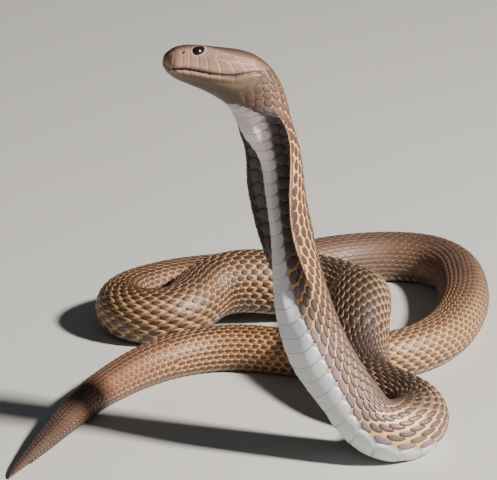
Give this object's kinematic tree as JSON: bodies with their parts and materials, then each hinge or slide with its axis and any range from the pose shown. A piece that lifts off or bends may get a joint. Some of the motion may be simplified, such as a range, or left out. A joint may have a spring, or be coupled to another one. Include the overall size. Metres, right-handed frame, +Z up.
{
  "type": "philippine cobra, life-size model",
  "caption": "Philippine cobra with its forebody raised, hood half spread and body coiled behind it on the ground, at life size.",
  "frame": {"origin": "on the floor, under the middle of the animal's bounding box", "axes": "+Z up, +Y away from the viewer towards the far coil, +X to the viewer's right; the head points to -X"},
  "size_m": [0.2192, 0.2737, 0.1879],
  "materials": {
    "scale_brown": "satin, smooth unkeeled scales",
    "hood_brown": "satin scales over loose skin",
    "head_brown": "smooth glossy head shields",
    "eye_black": "wet gloss"
  },
  "bodies": {
    "root": {"head": "head_brown", "eye_left": "eye_black", "eye_right": "eye_black", "hood": "hood_brown", "neck": "scale_brown", "body_front_turn": "scale_brown", "body_rise": "scale_brown", "body_overpass": "scale_brown", "body_inner_bend": "scale_brown", "body_mid": "scale_brown", "body_left_bend": "scale_brown", "body_rear_left": "scale_brown", "body_rear_right": "scale_brown", "body_right_bend": "scale_brown", "body_right_side": "scale_brown", "body_underpass": "scale_brown", "body_hind": "scale_brown", "tail": "scale_brown"}
  },
  "joints": []
}
